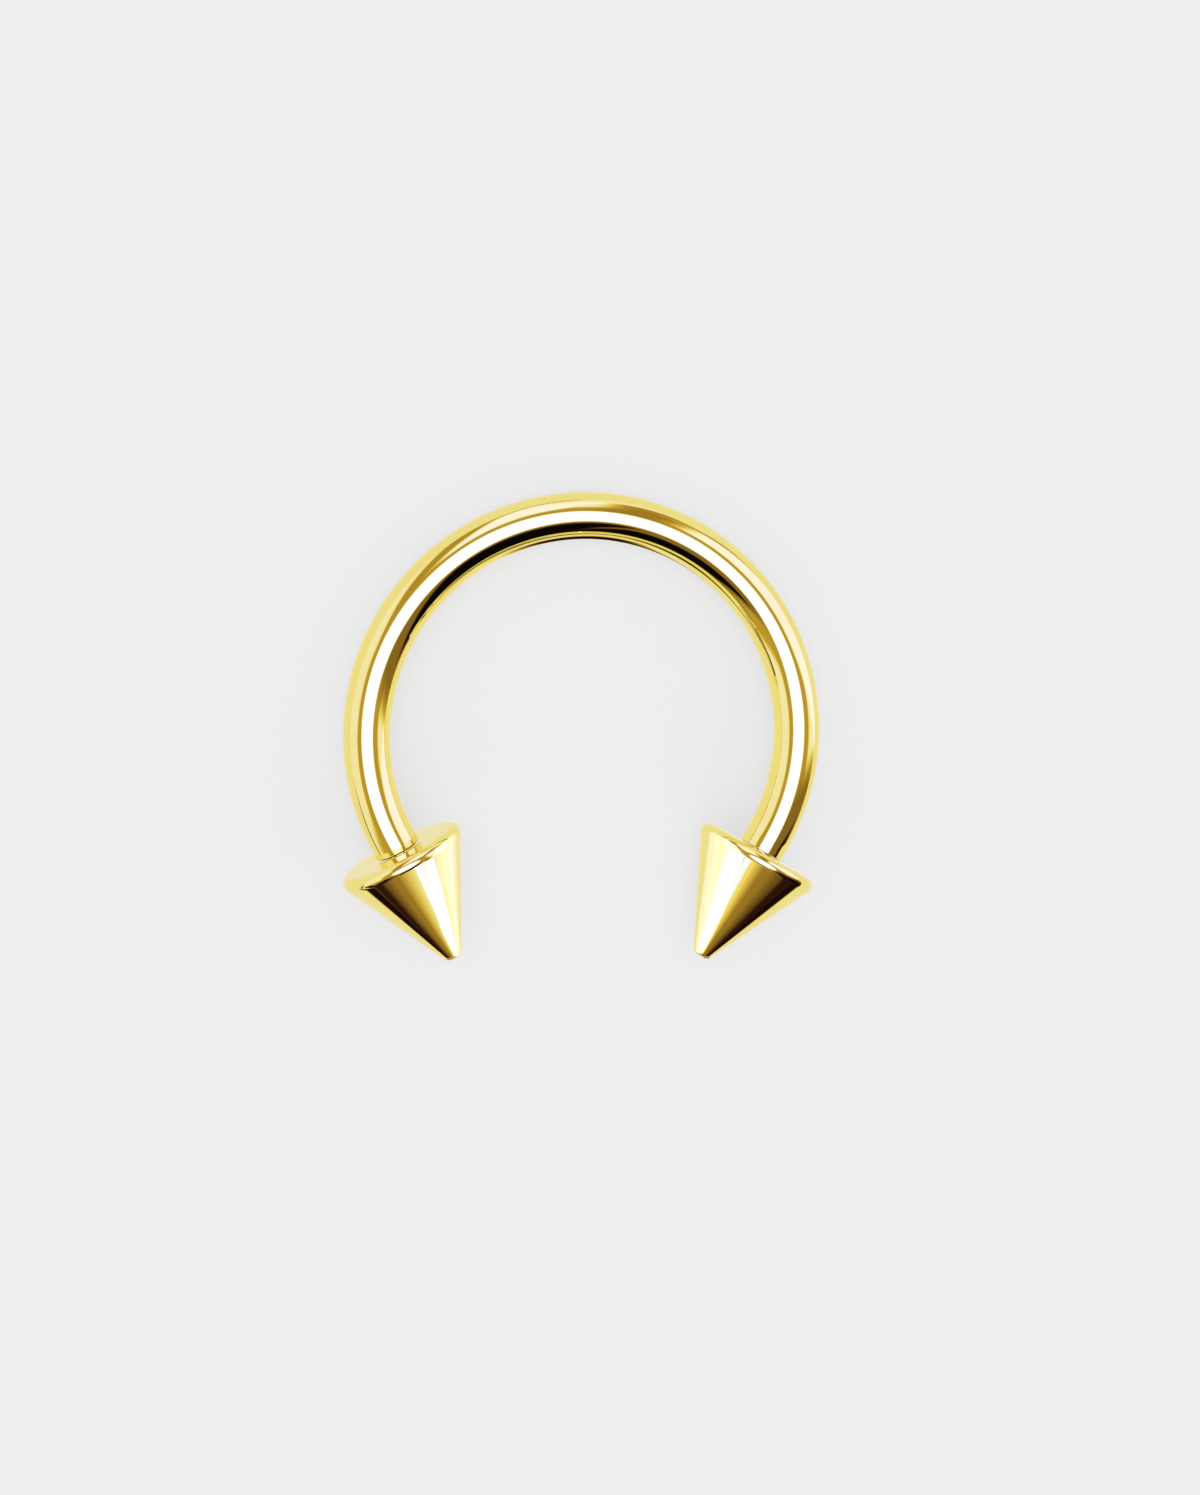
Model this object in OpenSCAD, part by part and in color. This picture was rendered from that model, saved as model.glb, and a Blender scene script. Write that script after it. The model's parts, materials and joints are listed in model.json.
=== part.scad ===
// Horseshoe barbell: a round gold wire bent into an open ring, with a screw-on cone spike
// at each end. It lies on its side, as it comes to rest by itself: the middle of the arc
// and the rims of both spikes touch the surface. Sizes are in millimetres.
// In the ring's own plane +Y points to the middle of the arc and -Y to the spikes.

/* [Bar] */
// Thickness of the wire
wire_d = 1.2; // [1:0.1:1.6]
// Clear diameter inside the arc
inner_d = 10; // [8:0.5:14]
// Angle that each end of the arc runs on past the half circle
end_sweep = 28.5; // [15:0.5:32]
// Straight wire between the arc and each spike
stub_len = 0.36; // [0.1:0.02:1]

/* [Posts] */
// Step all round from the wire down to the post
shoulder_w = 0.1; // [0.06:0.01:0.2]
// Length of the post that a spike screws on to
post_len = 1.4; // [0.8:0.1:1.6]
// Chamfer round the end of the post
post_chamfer = 0.12; // [0.02:0.02:0.2]

/* [Spikes] */
// Length from the flat base to the blunt tip
spike_len = 3.15; // [2.8:0.05:5]
// Largest diameter, at the rim of the base
rim_d = 3.32; // [2.8:0.04:4]
// Radius of the rounded rim
rim_round = 0.21; // [0.05:0.01:0.4]
// Diameter of the flat at the tip
tip_flat_d = 0.2; // [0.1:0.02:0.6]
// Radius of the rounded edge of the tip
tip_round = 0.18; // [0.02:0.02:0.24]

/* [Fits] */
// Room between the post and its bore, all round
post_clearance = 0.02; // [0.01:0.005:0.04]
// Room between the end of the post and the bottom of the bore
bore_end_room = 0.12; // [0.05:0.01:0.2]
// Gap between the wire's shoulder and the spike's base
seat_gap = 0.02; // [0.01:0.005:0.05]
// Chamfer round the mouth of the bore
bore_chamfer = 0.05; // [0.01:0.01:0.06]

/* [Hidden] */
$fn = 96;
GOLD = [0.83, 0.66, 0.25];
SPIKE_GOLD = [0.87, 0.70, 0.28];
// Steps in a rounded edge's outline
ROUND_STEPS = 10;
// How far a cut starts outside the face that it enters
CUT_START = 0.1;
// Angle that each half of the arc is drawn past the middle, before it is cut there
MIDDLE_OVERLAP = 1;

arc_r = (inner_d + wire_d) / 2;
post_d = wire_d - 2 * shoulder_w;
bore_d = post_d + 2 * post_clearance;
bore_len = post_len - seat_gap + bore_end_room;
// From the end of the arc to the spike's base, along the spike's axis
base_at = stub_len + seat_gap;

// Centres of the rounded rim and of the rounded tip edge: distance from the axis, height
// above the base
rim_centre = [rim_d / 2 - rim_round, rim_round];
tip_centre = [tip_flat_d / 2, spike_len - tip_round];
// The cone's flank is the line that touches both roundings from outside
rim_to_tip = tip_centre - rim_centre;
flank_normal = atan2(rim_to_tip.y, rim_to_tip.x) - acos((rim_round - tip_round) / norm(rim_to_tip));

// Y in the ring's plane of a point on a spike's axis, at a height above the spike's base
function axis_y(height) = -arc_r * sin(end_sweep) - (base_at + height) * cos(end_sweep);

// At rest the ring's plane leans from the thin wire up to the wide rims. The sine of that
// angle solves a quadratic: the lowest point of the arc and of both rims are level.
rest_span = arc_r - axis_y(rim_centre.y);
rest_drop = wire_d / 2 - rim_round;
quad_a = rest_span ^ 2 + (rim_centre.x * cos(end_sweep)) ^ 2;
quad_b = 2 * rest_span * rest_drop;
quad_c = rest_drop ^ 2 - rim_centre.x ^ 2;
rest_angle = asin((-quad_b + sqrt(quad_b ^ 2 - 4 * quad_a * quad_c)) / (2 * quad_a));
rest_lift = arc_r * sin(rest_angle) + wire_d / 2;

// The origin is under the middle of the resting barbell
top_y = arc_r * cos(rest_angle) + wire_d / 2;
tip_reach = tip_centre.x * sqrt(1 - (cos(end_sweep) * cos(rest_angle)) ^ 2) + tip_round;
bottom_y = axis_y(tip_centre.y) * cos(rest_angle) - tip_reach;
rest_shift = -(top_y + bottom_y) / 2;

// Points along a rounded edge, between two angles of its outward normal
function round_edge(centre, radius, from, to) =
    [for (i = [0 : ROUND_STEPS]) let (a = from + (to - from) * i / ROUND_STEPS)
        centre + radius * [cos(a), sin(a)]];

// Half outline of a spike: flat base, rounded rim, straight flank, blunt rounded tip
function spike_outline() = concat(
    [[0, 0]],
    round_edge(rim_centre, rim_round, -90, flank_normal),
    round_edge(tip_centre, tip_round, flank_normal, 90),
    [[0, spike_len]]
);

// Lays what is drawn in the ring's plane down as it rests
module at_rest() {
    translate([0, rest_shift, rest_lift]) rotate([-rest_angle, 0, 0]) children();
}

// Stands what is drawn along +Z on the right end of the arc, in line with the wire there
module on_right_end() {
    translate([arc_r * cos(end_sweep), -arc_r * sin(end_sweep), 0])
        rotate([90, 0, -end_sweep]) children();
}

// The arc from its right end, where on_right_end() stands things, to just past its middle
module half_arc() {
    translate([-arc_r, 0, 0]) rotate([-90, 0, 0])
        rotate_extrude(angle = 90 + end_sweep + MIDDLE_OVERLAP)
            translate([arc_r, 0]) circle(d = wire_d);
}

// The straight end of the wire and the thinner post on it
module wire_end() {
    cylinder(d = wire_d, h = stub_len);
    translate([0, 0, stub_len]) {
        cylinder(d = post_d, h = post_len - post_chamfer);
        translate([0, 0, post_len - post_chamfer])
            cylinder(d1 = post_d, d2 = post_d - 2 * post_chamfer, h = post_chamfer);
    }
}

// The right half of the bar, cut off square at the middle of the arc
module half_bar() {
    intersection() {
        on_right_end() {
            half_arc();
            wire_end();
        }
        translate([0, -arc_r - wire_d, -wire_d])
            cube([arc_r + wire_d, 2 * (arc_r + wire_d), 2 * wire_d]);
    }
}

module bar() {
    color(GOLD) at_rest() {
        half_bar();
        mirror([1, 0, 0]) half_bar();
    }
}

// The blind bore in a spike's base, with a chamfered mouth
module post_bore() {
    translate([0, 0, -CUT_START]) cylinder(d = bore_d, h = CUT_START + bore_len);
    cylinder(d1 = bore_d + 2 * bore_chamfer, d2 = bore_d, h = bore_chamfer);
}

module spike_right() {
    color(SPIKE_GOLD) at_rest() on_right_end() translate([0, 0, base_at])
        difference() {
            rotate_extrude() polygon(spike_outline());
            post_bore();
        }
}

module spike_left() {
    mirror([1, 0, 0]) spike_right();
}

bar();
spike_left();
spike_right();
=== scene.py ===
"""Horseshoe barbell of polished yellow gold, lying on its side on a pale studio floor.

Lengths are in millimetres and angles in degrees, unless a name says otherwise. The ring's own
frame has its origin at the centre of the arc, with +X to the right, +Y to the middle of the arc
and +Z square to the ring. World directions are given as azimuth, anticlockwise from +X seen
from above, and elevation above the floor.
"""
import json
from collections import namedtuple
from math import acos, asin, atan2, cos, degrees, hypot, pi, radians, sin, tan

import bmesh
import bpy
from mathutils import Matrix, Vector


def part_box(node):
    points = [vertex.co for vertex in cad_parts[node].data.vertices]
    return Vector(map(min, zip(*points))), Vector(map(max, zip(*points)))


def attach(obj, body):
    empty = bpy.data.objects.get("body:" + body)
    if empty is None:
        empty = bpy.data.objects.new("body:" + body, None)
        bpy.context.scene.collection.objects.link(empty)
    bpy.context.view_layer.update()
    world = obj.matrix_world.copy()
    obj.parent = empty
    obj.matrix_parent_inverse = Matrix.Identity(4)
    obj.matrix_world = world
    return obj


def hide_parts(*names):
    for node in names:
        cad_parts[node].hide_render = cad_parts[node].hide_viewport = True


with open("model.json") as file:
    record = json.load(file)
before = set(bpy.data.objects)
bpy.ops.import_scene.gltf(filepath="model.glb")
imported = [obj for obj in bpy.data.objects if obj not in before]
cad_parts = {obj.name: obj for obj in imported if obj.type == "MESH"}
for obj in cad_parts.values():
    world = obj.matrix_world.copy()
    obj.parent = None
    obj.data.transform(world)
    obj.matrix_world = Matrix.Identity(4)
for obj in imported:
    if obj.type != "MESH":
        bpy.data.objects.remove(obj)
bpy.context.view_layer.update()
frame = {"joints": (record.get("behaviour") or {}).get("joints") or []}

MM = 0.001

# Bar and posts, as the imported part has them
WIRE_D = 1.2
STUB_LEN = 0.36
SHOULDER_W = 0.1
POST_LEN = 1.4
POST_CHAMFER = 0.12
POST_D = WIRE_D - 2 * SHOULDER_W

# Spikes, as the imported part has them
SPIKE_LEN = 3.15
RIM_D = 3.32
RIM_ROUND = 0.21
TIP_FLAT_D = 0.2
TIP_ROUND = 0.18
SEAT_GAP = 0.02
POST_CLEARANCE = 0.02
BORE_END_ROOM = 0.12
BORE_CHAMFER = 0.05
BORE_LEN = POST_LEN - SEAT_GAP + BORE_END_ROOM
BASE_AT = STUB_LEN + SEAT_GAP

# Screw thread on the posts and in the bores
THREAD_PITCH = 0.25
THREAD_DEPTH = 0.135
THREAD_STEPS = 20
CREST_SHARE = 0.125
ROOT_SHARE = 0.25
RELIEF_LEN = 0.1
RELIEF_FADE = 0.12
ROOT_R = POST_D / 2 - THREAD_DEPTH

# Fineness of the meshes
WIRE_SIDES = 96
SPIKE_SIDES = 144
ARC_STEP = 1.0
ROUND_STEPS = 12
FLANK_ROWS = 24
# How near a spike's flank rows come to its roundings, as a share of the flank
FLANK_END_SHARE = 0.01
BASE_ROWS = 6
STUB_ROWS = 6
WIRE_EDGE_ROUND = 0.025
SHARP_ANGLE = 50

# The camera stands this far over the ring's centre, turned from square to the ring
CAMERA_YAW = 10.65
CAMERA_PITCH = 6.116
CAMERA_ROLL = -1.67
CAMERA_DISTANCE = 65.698
CAMERA_ASIDE = 0.390
CAMERA_BELOW = 0.3324
CAMERA_LENS = 61.68
CAMERA_SENSOR = 36
CAMERA_NEAR_M = 0.005
CAMERA_FAR_M = 10

FLOOR_HALF_M = 2.0
FLOOR_ALBEDO = 0.80
FLOOR_ROUGHNESS = 0.9
FLOOR_SHINE = 0.0
BACKGROUND = 0.863
# The parts of the floor's brightness that come evenly from all sides, and from overhead with
# and without a shadow
AMBIENT = 0.36
SHADED = 0.08
SHADELESS = BACKGROUND - AMBIENT - SHADED


def along(start, end, share):
    return start + (end - start) * share


def steps(start, end, count):
    """Evenly spaced values from start to end, both included."""
    return [along(start, end, i / count) for i in range(count + 1)]


def direction_of(azimuth, elevation):
    a, e = radians(azimuth), radians(elevation)
    return Vector((cos(e) * cos(a), cos(e) * sin(a), sin(e)))


# Where the ring lies

def ring_placement():
    """The arc's radius, its ends' sweep past the half circle in radians and the matrix from the
    ring's frame to the world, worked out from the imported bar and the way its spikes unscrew."""
    joint = next(j for j in frame["joints"] if j["child"] == "spike_right")
    axis = Vector(joint["axis"])
    sweep = asin(-axis.x)
    lean = atan2(axis.z, -axis.y)
    low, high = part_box("bar")
    arc_r = high.x / MM - WIRE_D / 2
    centre_y = high.y / MM - WIRE_D / 2 - arc_r * cos(lean)
    centre_z = low.z / MM + WIRE_D / 2 + arc_r * sin(lean)
    lie = Matrix.Translation((0, centre_y, centre_z)) @ Matrix.Rotation(-lean, 4, "X")
    return arc_r, sweep, lie


ARC_R, END_SWEEP, RING_TO_WORLD = ring_placement()


def frame_matrix(origin, out, axis):
    """Matrix with local X along out, Y square to the ring and Z along axis."""
    columns = (out, Vector((0, 0, 1)), axis)
    rotation = Matrix(columns).transposed().to_4x4()
    return Matrix.Translation(origin) @ rotation


def across_wire(turn):
    """Matrix of a cut across the wire: local X points out of the ring and Z back towards the
    right end. turn is the angle round the ring, in radians."""
    out = Vector((cos(turn), sin(turn), 0))
    back = Vector((sin(turn), -cos(turn), 0))
    return frame_matrix(ARC_R * out, out, back)


def wire_end(side):
    """Matrix of an end of the arc: local Z points along the spike. side is 1 right, -1 left."""
    out = Vector((side * cos(END_SWEEP), -sin(END_SWEEP), 0))
    axis = Vector((-side * sin(END_SWEEP), -cos(END_SWEEP), 0))
    return frame_matrix(ARC_R * out, out, axis)


# Meshes

class Rows:
    """Rows of points that each go once round a body, and how far each lies along the metal."""

    def __init__(self, sides):
        self.sides = sides
        self.points = []
        self.lays = []

    def add(self, place, height, radius, run):
        """A row across place's local Z. radius is a number or a function of the share of a
        turn, and run is the distance along the surface, which the finish follows."""
        points, lays = [], []
        for i in range(self.sides):
            share = i / self.sides
            r = radius(share) if callable(radius) else radius
            x = r * cos(2 * pi * share)
            y = r * sin(2 * pi * share)
            points.append(place @ Vector((x, y, height)))
            lays.append(Vector((x, y, run)))
        self.points.append(points)
        self.lays.append(lays)


def closed_body(name, rows):
    """One closed mesh through all rows, with a fan over the first and the last."""
    mesh = bpy.data.meshes.new(name)
    bm = bmesh.new()
    lay_layer = bm.verts.layers.float_vector.new("lay")

    def vertex(point, lay):
        made = bm.verts.new((RING_TO_WORLD @ point) * MM)
        made[lay_layer] = lay
        return made

    grid = [[vertex(p, q) for p, q in zip(points, lays)]
            for points, lays in zip(rows.points, rows.lays)]
    for row, following in zip(grid, grid[1:]):
        for i in range(rows.sides):
            j = (i + 1) % rows.sides
            bm.faces.new((row[i], row[j], following[j], following[i]))
    for row, points, lays in ((grid[0], rows.points[0], rows.lays[0]),
                              (grid[-1], rows.points[-1], rows.lays[-1])):
        middle = sum(points, Vector()) / rows.sides
        middle_lay = Vector((0, 0, lays[0].z))
        hub = vertex(middle, middle_lay)
        for i in range(rows.sides):
            bm.faces.new((row[i], row[(i + 1) % rows.sides], hub))
    bmesh.ops.recalc_face_normals(bm, faces=bm.faces)
    for face in bm.faces:
        face.smooth = True
    bm.to_mesh(mesh)
    bm.free()
    mesh.set_sharp_from_angle(angle=radians(SHARP_ANGLE))
    piece = bpy.data.objects.new(name, mesh)
    bpy.context.scene.collection.objects.link(piece)
    return piece


def round_edge(centre, radius, start, end):
    """Points along a rounded edge, between two angles of its outward normal in degrees."""
    return [(centre[0] + radius * cos(radians(a)), centre[1] + radius * sin(radians(a)))
            for a in steps(start, end, ROUND_STEPS)]


# Screw thread

def tooth(height, turn):
    """How far up the thread's tooth a point lies: 0 at the root and 1 on the crest."""
    phase = (height / THREAD_PITCH - turn) % 1
    from_crest = abs(2 * phase - 1)
    flank = 1 - CREST_SHARE - ROOT_SHARE
    return min(1, max(0, (CREST_SHARE + flank - from_crest) / flank))


def post_radius(height, turn):
    """Radius of the post at a height past the arc's end, with its thread, relief and chamfer."""
    past_relief = (height - STUB_LEN - RELIEF_LEN) / RELIEF_FADE
    full = min(1, max(0, past_relief))
    threaded = ROOT_R + THREAD_DEPTH * tooth(height, turn) * full
    chamfered = POST_D / 2 - max(0, height - (STUB_LEN + POST_LEN - POST_CHAMFER))
    return min(threaded, chamfered)


def bore_radius(depth, turn):
    """Radius of a spike's bore at a depth below its base, with its thread and countersink."""
    threaded = ROOT_R + THREAD_DEPTH * tooth(BASE_AT + depth, turn) + POST_CLEARANCE
    countersunk = POST_D / 2 + POST_CLEARANCE + BORE_CHAMFER - depth
    return max(threaded, countersunk)


def thread_heights(start, length):
    count = round(length / THREAD_PITCH * THREAD_STEPS)
    return steps(start, start + length, count)


# Bar

def end_rows(side):
    """Heights and radii of the rows from the arc's end out to the post's tip."""
    rows = [(h, WIRE_D / 2) for h in steps(0, STUB_LEN - WIRE_EDGE_ROUND, STUB_ROWS)][1:]
    edge_centre = (WIRE_D / 2 - WIRE_EDGE_ROUND, STUB_LEN - WIRE_EDGE_ROUND)
    rows += [(h, r) for r, h in round_edge(edge_centre, WIRE_EDGE_ROUND, 0, 90)][1:]
    for height in thread_heights(STUB_LEN, POST_LEN):
        rows.append((height, lambda share, h=height: post_radius(h, side * share)))
    return rows


def make_bar():
    rows = Rows(WIRE_SIDES)
    right, left = wire_end(1), wire_end(-1)
    for height, radius in reversed(end_rows(1)):
        rows.add(right, height, radius, -height)
    sweep = pi + 2 * END_SWEEP
    count = round(degrees(sweep) / ARC_STEP)
    for turn in steps(-END_SWEEP, pi + END_SWEEP, count):
        run = (turn + END_SWEEP) * ARC_R
        rows.add(across_wire(turn), 0, WIRE_D / 2, run)
    for height, radius in end_rows(-1):
        rows.add(left, height, radius, run + height)
    return closed_body("bar_metal", rows)


# Spikes

def spike_outline():
    """Half outline of a spike from its bore's mouth to its tip: distance from the axis and
    height above the base."""
    rim = (RIM_D / 2 - RIM_ROUND, RIM_ROUND)
    tip = (TIP_FLAT_D / 2, SPIKE_LEN - TIP_ROUND)
    reach = (tip[0] - rim[0], tip[1] - rim[1])
    turned = acos((RIM_ROUND - TIP_ROUND) / hypot(*reach))
    flank_normal = degrees(atan2(reach[1], reach[0]) - turned)
    mouth = bore_radius(0, 0)
    base = [(r, 0) for r in steps(mouth, rim[0], BASE_ROWS)][:-1]
    rim_edge = round_edge(rim, RIM_ROUND, -90, flank_normal)
    tip_edge = round_edge(tip, TIP_ROUND, flank_normal, 90)
    flank_start, flank_end = rim_edge[-1], tip_edge[0]
    inner_shares = steps(1 / FLANK_ROWS, 1 - 1 / FLANK_ROWS, FLANK_ROWS - 2)
    flank = [(along(flank_start[0], flank_end[0], s), along(flank_start[1], flank_end[1], s))
             for s in (FLANK_END_SHARE, *inner_shares, 1 - FLANK_END_SHARE)]
    return base + rim_edge + flank + tip_edge


def make_spike(name, side):
    place = wire_end(side) @ Matrix.Translation((0, 0, BASE_AT))
    rows = Rows(SPIKE_SIDES)
    for depth in reversed(thread_heights(0, BORE_LEN)):
        rows.add(place, depth, lambda share, d=depth: bore_radius(d, side * share), -depth)
    run = 0
    outline = spike_outline()
    for (r0, h0), (r1, h1) in zip(outline, outline[1:]):
        run += hypot(r1 - r0, h1 - h0)
        rows.add(place, h1, r1, run)
    return closed_body(name, rows)


# Shader nodes

class Nodes:
    """Short ways to add nodes to a tree and feed their sockets with numbers or links."""

    def __init__(self, tree):
        self.tree = tree
        tree.nodes.clear()

    def add(self, kind, inputs=None, **settings):
        node = self.tree.nodes.new(kind)
        for name, value in settings.items():
            setattr(node, name, value)
        for socket, value in (inputs or {}).items():
            self.feed(node.inputs[socket], value)
        return node

    def feed(self, socket, value):
        if isinstance(value, bpy.types.NodeSocket):
            self.tree.links.new(value, socket)
        else:
            socket.default_value = value

    def math(self, operation, *values):
        inputs = dict(enumerate(values))
        return self.add("ShaderNodeMath", inputs, operation=operation).outputs[0]

    def ease(self, value, start, end, low=0.0, high=1.0):
        """Goes smoothly from low to high as value goes from start to end."""
        inputs = {"Value": value, "From Min": start, "From Max": end, "To Min": low, "To Max": high}
        node = self.add("ShaderNodeMapRange", inputs, interpolation_type="SMOOTHSTEP")
        return node.outputs["Result"]

    def noise(self, place, scale, detail):
        inputs = {"Vector": place, "Scale": scale, "Detail": detail}
        return self.add("ShaderNodeTexNoise", inputs).outputs[0]

    def blend(self, share, first, second):
        """The number first where share is 0 and second where it is 1."""
        return self.add("ShaderNodeMix", {0: share, 2: first, 3: second}).outputs[0]

    def ramp(self, value, stops):
        node = self.add("ShaderNodeValToRGB", {"Fac": value})
        elements = node.color_ramp.elements
        while len(elements) < len(stops):
            elements.new(1)
        while len(elements) > len(stops):
            elements.remove(elements[-1])
        for element, (position, colour) in zip(elements, stops):
            element.position = position
            element.color = (*colour, 1)
        return node.outputs["Color"]


# Gold

GOLD_LIGHT = (0.965, 0.845, 0.275)
GOLD_DEEP = (0.945, 0.800, 0.235)
ROUGH_LOW = 0.025
ROUGH_HIGH = 0.06
# Fineness of the two noises, for each metre, and the values between which each goes from one
# look to the other
TONE_SCALE = 600
DEEP_BELOW = 0.3
LIGHT_ABOVE = 0.7
SMUDGE_SCALE = 350
CLEAN_BELOW = 0.35
SMUDGED_ABOVE = 0.75
# Polishing lines: their fineness along a surface's own X, Y and run, for each millimetre, and
# their height. They go along the wire and round the spikes.
WIRE_LINES = (40, 40, 1.2)
WIRE_WAVES_M = 4e-8
TURNED_LINES = (2, 2, 30)
TURNED_WAVES_M = 2e-8


def gold_material(name, lines_scale, waves_m):
    """Mirror polished gold with polishing lines of that fineness and height."""
    material = bpy.data.materials.new(name)
    material.use_nodes = True
    n = Nodes(material.node_tree)
    lay = n.add("ShaderNodeAttribute", attribute_name="lay").outputs["Vector"]
    place = n.add("ShaderNodeTexCoord").outputs["Object"]
    colour = n.ramp(n.noise(place, TONE_SCALE, 3), ((DEEP_BELOW, GOLD_DEEP), (LIGHT_ABOVE, GOLD_LIGHT)))
    stretched = n.add("ShaderNodeVectorMath", {0: lay, 1: lines_scale}, operation="MULTIPLY")
    lines = n.noise(stretched.outputs[0], 1, 2)
    smudged = n.ease(n.noise(place, SMUDGE_SCALE, 2), CLEAN_BELOW, SMUDGED_ABOVE)
    rough = n.blend(n.math("MULTIPLY", smudged, lines), ROUGH_LOW, ROUGH_HIGH)
    bump = n.add("ShaderNodeBump", {"Height": lines, "Strength": 1.0, "Distance": waves_m})
    shader = n.add("ShaderNodeBsdfPrincipled", {
        "Base Color": colour,
        "Metallic": 1.0,
        "Roughness": rough,
        "Normal": bump.outputs[0],
    })
    n.add("ShaderNodeOutputMaterial", {"Surface": shader.outputs[0]})
    return material


# Floor, camera and studio

def make_floor():
    bpy.ops.mesh.primitive_plane_add(size=2 * FLOOR_HALF_M)
    floor = bpy.context.object
    floor.name = "studio_floor"
    material = bpy.data.materials.new("floor")
    material.use_nodes = True
    shader = material.node_tree.nodes["Principled BSDF"]
    shader.inputs["Base Color"].default_value = (FLOOR_ALBEDO, FLOOR_ALBEDO, FLOOR_ALBEDO, 1)
    shader.inputs["Roughness"].default_value = FLOOR_ROUGHNESS
    shader.inputs["Specular IOR Level"].default_value = FLOOR_SHINE
    floor.data.materials.append(material)
    # The metal mirrors the ground of the surroundings in its place
    floor.visible_glossy = False
    return floor


def make_camera():
    camera = bpy.data.objects.new("camera", bpy.data.cameras.new("camera"))
    camera.data.lens = CAMERA_LENS
    camera.data.sensor_width = CAMERA_SENSOR
    camera.data.clip_start = CAMERA_NEAR_M
    camera.data.clip_end = CAMERA_FAR_M
    turn = (Matrix.Rotation(radians(-CAMERA_YAW), 4, "Y")
            @ Matrix.Rotation(radians(-CAMERA_PITCH), 4, "X")
            @ Matrix.Rotation(radians(-CAMERA_ROLL), 4, "Z"))
    stand = Vector((CAMERA_ASIDE, -CAMERA_BELOW, CAMERA_DISTANCE))
    seen_from = RING_TO_WORLD @ turn @ Matrix.Translation(stand)
    seen_from.translation *= MM
    camera.matrix_world = seen_from
    bpy.context.scene.collection.objects.link(camera)
    bpy.context.scene.camera = camera


# What the polished metal mirrors is a level from 0, black, to 1, the bright ceiling. Each level
# has a tone, and the brighter ones lean to blue, which the gold turns to cream.
BLACK = (0.003, 0.002, 0.002)
NIGHT = (0.020, 0.006, 0.008)
BROWN = (0.330, 0.210, 0.060)
BRONZE = (0.540, 0.380, 0.110)
AMBER = (0.750, 0.610, 0.270)
PALE = (0.900, 0.900, 0.900)
CREAM = (1.030, 1.100, 2.600)
WINDOW = (1.050, 1.180, 3.300)
GLARE = (1.250, 1.350, 4.200)
TONES = (
    (0.00, BLACK),
    (0.15, NIGHT),
    (0.50, BROWN),
    (0.65, BRONZE),
    (0.75, AMBER),
    (0.84, PALE),
    (0.96, CREAM),
    (1.00, GLARE),
)

# A patch of the surroundings: lean is how far it slants, in degrees of azimuth for each degree up
Patch = namedtuple("Patch", "azimuth elevation half_width half_height soft lean level")

# Above the horizon a pale wall, and from WALL_TOP to BELT_START a change to a darker belt. Each
# patch lies over those before it.
WALL = 0.875
WALL_TOP = 36
BELT = 0.62
BELT_START = 46
SURROUNDINGS = (
    Patch(124, 18, 11, 30, 5, 0.65, 0.58),
    Patch(96, 24, 18, 19, 4, 0.4, 0.96),
    Patch(95, 1, 18, 3, 2, 0.4, 0.64),
    Patch(25, 21, 25, 27, 4, 0.55, 0.96),
    Patch(64, 35, 9, 28, 6, 0, 0.52),
    Patch(66, 0, 15, 12, 4, 1.27, WALL),
    Patch(43, 5, 6, 16, 4, 1.27, 0.64),
    Patch(-72, 33, 62, 33, 6, 0, 0.40),
    Patch(-134, 22, 10, 26, 7, -0.4, 0.64),
    Patch(-101, 32, 22, 15, 4, -0.5, 0.0),
    Patch(-52.5, 35, 24.5, 24, 4, -0.25, 0.0),
    Patch(-81, 9, 53, 7, 3, 0, 0.05),
)

# Below the horizon, in place of the floor
GROUND = 0.83
HORIZON_SOFT = 0.5
GROUND_PATCHES = (
    Patch(-102, -5, 14, 8, 3, 2.0, 0.05),
    Patch(-60, 0, 14, 5, 3, 2.0, 0.05),
    Patch(-75, -44, 13, 20, 6, 0, 0.05),
    Patch(-144, -2.7, 6, 4, 1.5, -2.8, 0.0),
)

# A round bright ceiling
CEILING_AZIMUTH = 120
CEILING_ELEVATION = 85
CEILING_RADIUS = 28
CEILING_SOFT = 3

# The light on the floor: straight, and by way of the gold, which turns it white
WHITE = (1.000, 1.000, 1.000)
GOLD_TO_WHITE = (1.050, 1.200, 3.800)
# A diffuse depth below this is light that no matt surface has scattered
UNSCATTERED = 0.5


def patch_share(n, azimuth, elevation, patch):
    """1 inside a patch and 0 outside it, with a soft edge."""
    up = n.math("SUBTRACT", elevation, patch.elevation)
    aside = n.math("SUBTRACT", azimuth, patch.azimuth)
    leant = n.math("SUBTRACT", aside, n.math("MULTIPLY", up, patch.lean))
    wrapped = n.math("WRAP", leant, 180.0, -180.0)
    within = n.ease(n.math("ABSOLUTE", wrapped),
                    patch.half_width + patch.soft, patch.half_width - patch.soft)
    between = n.ease(n.math("ABSOLUTE", up),
                     patch.half_height + patch.soft, patch.half_height - patch.soft)
    return n.math("MULTIPLY", within, between)


def with_patches(n, level, azimuth, elevation, patches):
    for patch in patches:
        level = n.blend(patch_share(n, azimuth, elevation, patch), level, patch.level)
    return level


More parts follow.
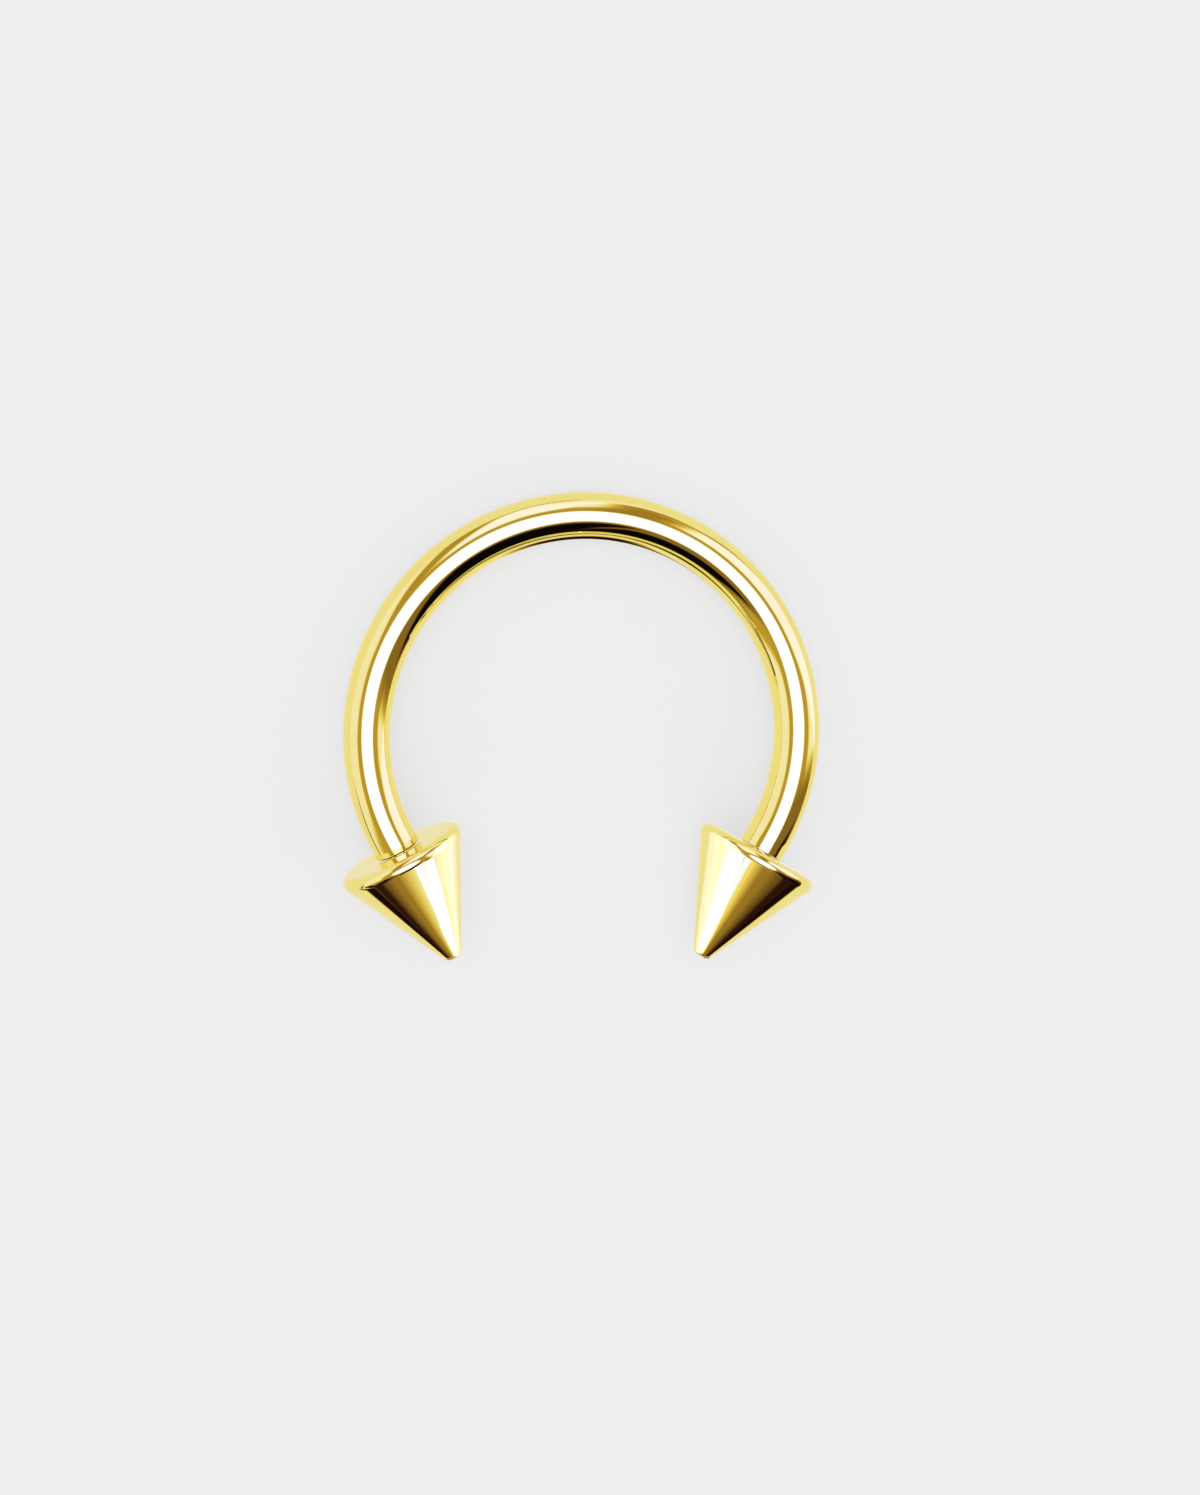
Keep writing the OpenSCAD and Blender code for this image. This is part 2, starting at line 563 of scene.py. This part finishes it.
def surroundings_level(n, direction, azimuth, elevation):
    """The level of the studio in a direction that the metal can mirror."""
    level = n.ease(elevation, WALL_TOP, BELT_START, WALL, BELT)
    level = with_patches(n, level, azimuth, elevation, SURROUNDINGS)
    level = n.blend(n.ease(elevation, HORIZON_SOFT, -HORIZON_SOFT), level, GROUND)
    level = with_patches(n, level, azimuth, elevation, GROUND_PATCHES)
    middle = direction_of(CEILING_AZIMUTH, CEILING_ELEVATION)
    nearness = n.add("ShaderNodeVectorMath", {0: direction, 1: middle}, operation="DOT_PRODUCT")
    away = n.math("DEGREES", n.math("ARCCOSINE", nearness.outputs["Value"]))
    ceiling = n.ease(away, CEILING_RADIUS + CEILING_SOFT, CEILING_RADIUS - CEILING_SOFT)
    return n.blend(ceiling, level, 1.0)


def make_world():
    """Even light for the floor, and the studio's own picture for what the metal mirrors."""
    world = bpy.data.worlds.new("studio")
    bpy.context.scene.world = world
    world.use_nodes = True
    world.cycles.sampling_method = "NONE"
    n = Nodes(world.node_tree)
    path = n.add("ShaderNodeLightPath").outputs
    direction = n.add("ShaderNodeTexCoord").outputs["Generated"]
    parts = n.add("ShaderNodeSeparateXYZ", {0: direction}).outputs
    azimuth = n.math("DEGREES", n.math("ARCTAN2", parts["Y"], parts["X"]))
    elevation = n.math("DEGREES", n.math("ARCSINE", parts["Z"]))
    level = surroundings_level(n, direction, azimuth, elevation)
    mirrored = n.add("ShaderNodeBackground", {"Color": n.ramp(level, TONES)})
    even = n.blend(path["Is Camera Ray"], AMBIENT / FLOOR_ALBEDO, BACKGROUND)
    light = n.ramp(path["Is Glossy Ray"], ((0, WHITE), (1, GOLD_TO_WHITE)))
    plain = n.add("ShaderNodeBackground", {"Color": light, "Strength": even})
    unscattered = n.math("LESS_THAN", path["Diffuse Depth"], UNSCATTERED)
    seen = n.math("MULTIPLY", path["Is Glossy Ray"], unscattered)
    both = n.add("ShaderNodeMixShader", {0: seen, 1: plain.outputs[0], 2: mirrored.outputs[0]})
    n.add("ShaderNodeOutputWorld", {"Surface": both.outputs[0]})


# Lamps

# A softbox that only one piece mirrors. It stands off the piece's middle in a direction, faces it
# and spans so many degrees as seen from there. Its tones go with growing azimuth, or upwards.
Softbox = namedtuple("Softbox", "name node off_mm azimuth elevation width height upwards tones")
FAR = 400
NEAR = 3.1
# A depth above this is a reflection of a reflection, or light that the gold throws on the
# floor, and has no softbox
FIRST_MIRROR = 1.5
PALE_GOLD = (0.800, 0.760, 0.360)
# A panel adds to the surroundings behind it. These tones are for where those are pale.
HAZE = (0.300, 0.450, 0.400)
COOL = (0.450, 0.800, 1.400)
BLUE = (0.150, 0.250, 1.300)
BLUE_WINDOW = (0.120, 0.260, 2.400)
GLOW = (0.900, 1.000, 1.800)
LEFT_SWEEP = (
    (0.24, NIGHT),
    (0.43, BROWN),
    (0.52, BROWN),
    (0.68, AMBER),
    (0.82, PALE),
    (1.00, CREAM),
)
RIGHT_SWEEP = (
    (0.00, COOL),
    (0.14, HAZE),
    (0.27, AMBER),
    (0.40, BROWN),
    (0.50, BROWN),
    (0.74, NIGHT),
)
LEFT_CARD = (
    (0.08, NIGHT),
    (0.38, BLUE),
    (0.50, GLOW),
)
RIGHT_CARD = (
    (0.00, NIGHT),
    (0.20, BLUE),
    (0.36, BLUE),
    (0.48, GLOW),
)
SOFTBOXES = (
    Softbox("left_sweep", "spike_left", FAR, -80, 22, 64, 44, False, LEFT_SWEEP),
    Softbox("left_window", "spike_left", FAR, -38, 20, 22, 44, False, ((0, WINDOW),)),
    Softbox("left_card", "spike_left", NEAR, 0, 10, 100, 70, True, LEFT_CARD),
    Softbox("right_sweep", "spike_right", FAR, -97, 34, 82, 44, False, RIGHT_SWEEP),
    Softbox("right_window", "spike_right", FAR, -151, 22, 22, 40, False, ((0, BLUE_WINDOW),)),
    Softbox("right_card", "spike_right", NEAR, 180, 10, 100, 70, True, RIGHT_CARD),
    Softbox("front_strip_1", "bar", FAR, -106, 7, 60, 14, False, ((0, PALE_GOLD),)),
    Softbox("front_strip_2", "bar", FAR, -52, 7, 48, 14, False, ((0, PALE_GOLD),)),
)

# Light on the floor from about where the camera is
OVERHEAD_AZIMUTH = 130
OVERHEAD_ELEVATION = 74
OVERHEAD_SPREAD = 40


def place_lamp(name, data, middle, off, azimuth, elevation, piece):
    """Puts a lamp off a point in a direction, facing the point and lighting one piece alone."""
    away = direction_of(azimuth, elevation)
    across = Vector((-sin(radians(azimuth)), cos(radians(azimuth)), 0))
    facing = Matrix((across, away.cross(across), away)).transposed().to_4x4()
    lamp = bpy.data.objects.new(name, data)
    lamp.matrix_world = Matrix.Translation(middle + off * away) @ facing
    bpy.context.scene.collection.objects.link(lamp)
    lit = bpy.data.collections.new(name)
    lit.objects.link(piece)
    lamp.light_linking.receiver_collection = lit
    lamp.visible_camera = False
    return lamp


def make_softbox(box):
    low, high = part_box(box.node)
    off = box.off_mm * MM
    data = bpy.data.lights.new(box.name, "AREA")
    data.shape = "RECTANGLE"
    data.size = 2 * off * tan(radians(box.width / 2))
    data.size_y = 2 * off * tan(radians(box.height / 2))
    data.energy = pi * data.size * data.size_y
    data.use_nodes = True
    n = Nodes(data.node_tree)
    place = n.add("ShaderNodeNewGeometry").outputs["Parametric"]
    side = "Y" if box.upwards else "X"
    share = n.add("ShaderNodeSeparateXYZ", {0: place}).outputs[side]
    path = n.add("ShaderNodeLightPath").outputs
    depth = n.math("ADD", path["Glossy Depth"], path["Diffuse Depth"])
    strength = n.math("LESS_THAN", depth, FIRST_MIRROR)
    glow = n.add("ShaderNodeEmission", {"Color": n.ramp(share, box.tones), "Strength": strength})
    n.add("ShaderNodeOutputLight", {"Surface": glow.outputs[0]})
    piece = bpy.data.objects[box.node + "_metal"]
    lamp = place_lamp(box.name, data, (low + high) / 2, off, box.azimuth, box.elevation, piece)
    lamp.visible_diffuse = False


def make_overhead(name, floor, brightness, blockers):
    """Soft light on the floor alone, which only the blockers shade."""
    data = bpy.data.lights.new(name, "SUN")
    data.angle = radians(OVERHEAD_SPREAD)
    data.energy = pi * brightness / FLOOR_ALBEDO / sin(radians(OVERHEAD_ELEVATION))
    lamp = place_lamp(name, data, Vector(), FAR * MM, OVERHEAD_AZIMUTH, OVERHEAD_ELEVATION, floor)
    shading = bpy.data.collections.new(name + "_blockers")
    for blocker in blockers:
        shading.objects.link(blocker)
    lamp.light_linking.blocker_collection = shading
    lamp.visible_glossy = False


bar = make_bar()
spike_left = make_spike("spike_left_metal", -1)
spike_right = make_spike("spike_right_metal", 1)
wire_gold = gold_material("wire_gold", WIRE_LINES, WIRE_WAVES_M)
turned_gold = gold_material("turned_gold", TURNED_LINES, TURNED_WAVES_M)
for piece, node, material in ((bar, "bar", wire_gold),
                              (spike_left, "spike_left", turned_gold),
                              (spike_right, "spike_right", turned_gold)):
    piece.data.materials.append(material)
    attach(piece, node)
    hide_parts(node)

floor = make_floor()
make_camera()
make_world()
make_overhead("overhead", floor, SHADED, (bar, spike_left, spike_right))
make_overhead("fill", floor, SHADELESS, (floor,))
for box in SOFTBOXES:
    make_softbox(box)
bpy.context.scene.view_settings.view_transform = "Standard"
